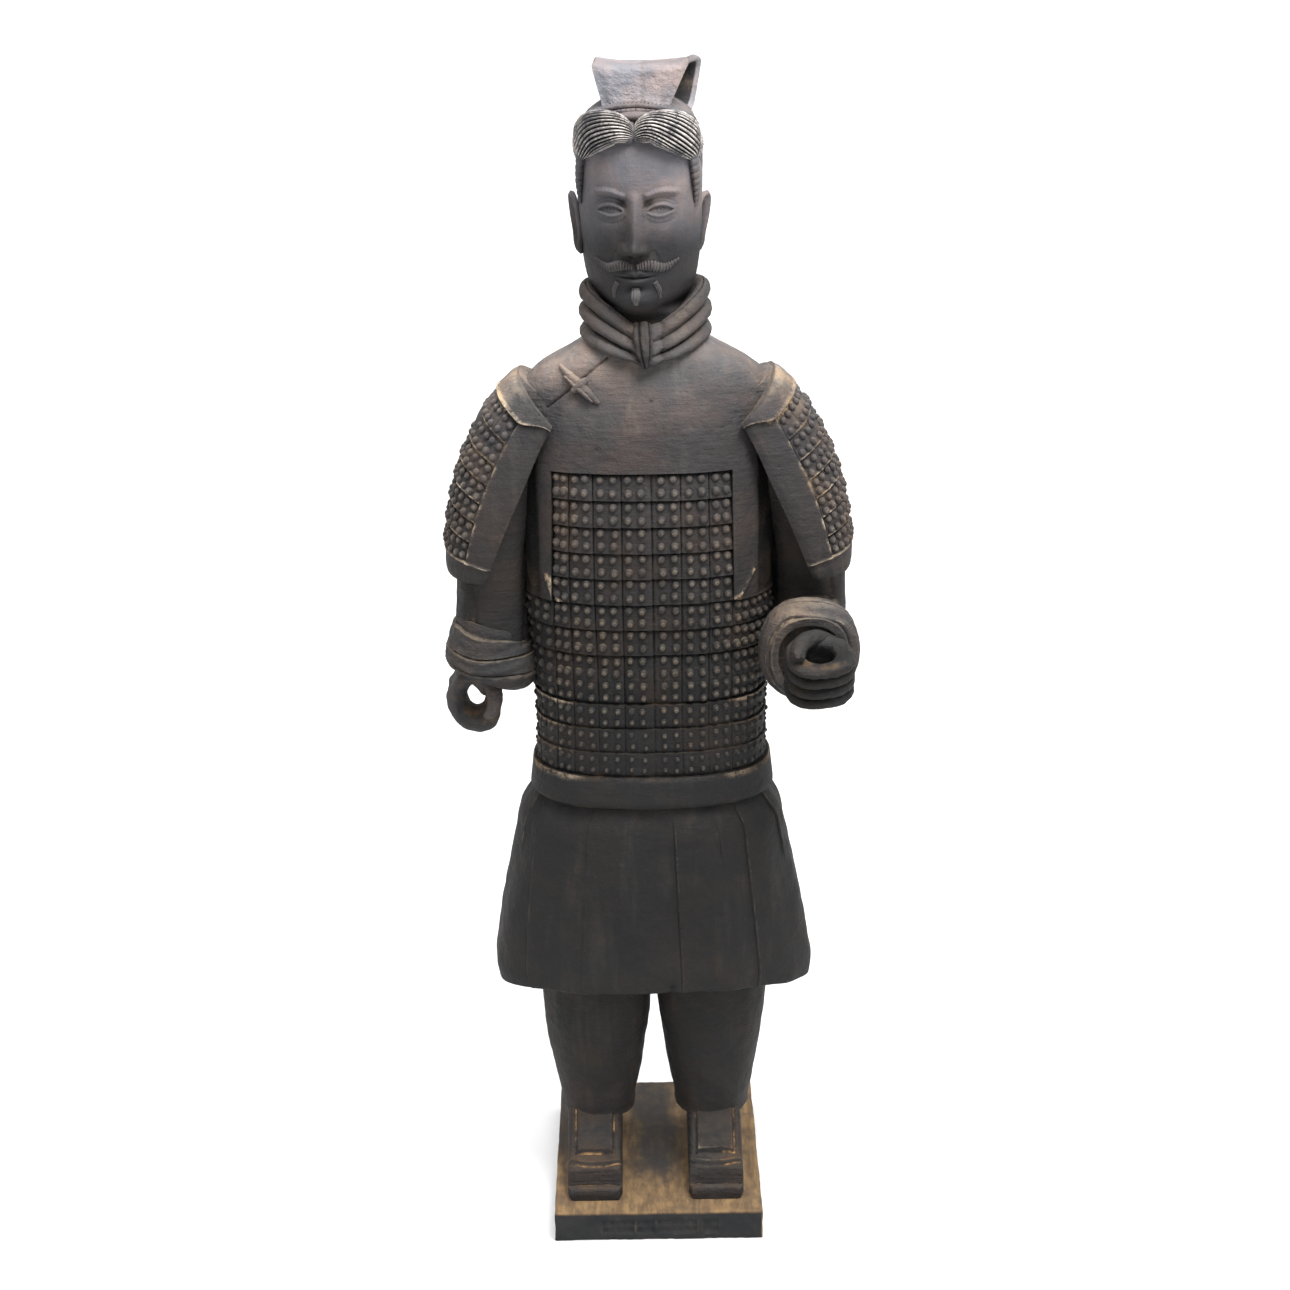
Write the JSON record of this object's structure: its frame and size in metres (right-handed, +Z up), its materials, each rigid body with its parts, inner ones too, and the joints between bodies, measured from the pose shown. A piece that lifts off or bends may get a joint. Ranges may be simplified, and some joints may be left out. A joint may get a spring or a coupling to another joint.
{
  "type": "terracotta warrior statue",
  "caption": "Standing fired-clay soldier in plated armour on a square plinth, one hand hanging in a ring, the other raised as a fist with a bore.",
  "frame": {"origin": "centre of the plinth's underside", "axes": "+Z up the figure, -Y the way its face and toes point, +X towards its left hand"},
  "size_m": [0.4081, 0.2932, 1.1994],
  "materials": {
    "figure_clay": "matt charcoal clay with ochre dust in its grooves",
    "head_clay": "matt slate clay, browner on the cap",
    "hand_clay": "matt charcoal clay, rubbed lighter on its edges",
    "plinth_clay": "matt clay, worn to ochre on top"
  },
  "bodies": {
    "root": {"figure": "figure_clay", "head": "head_clay", "left_hand": "hand_clay", "right_hand": "hand_clay", "plinth": "plinth_clay"}
  },
  "joints": []
}
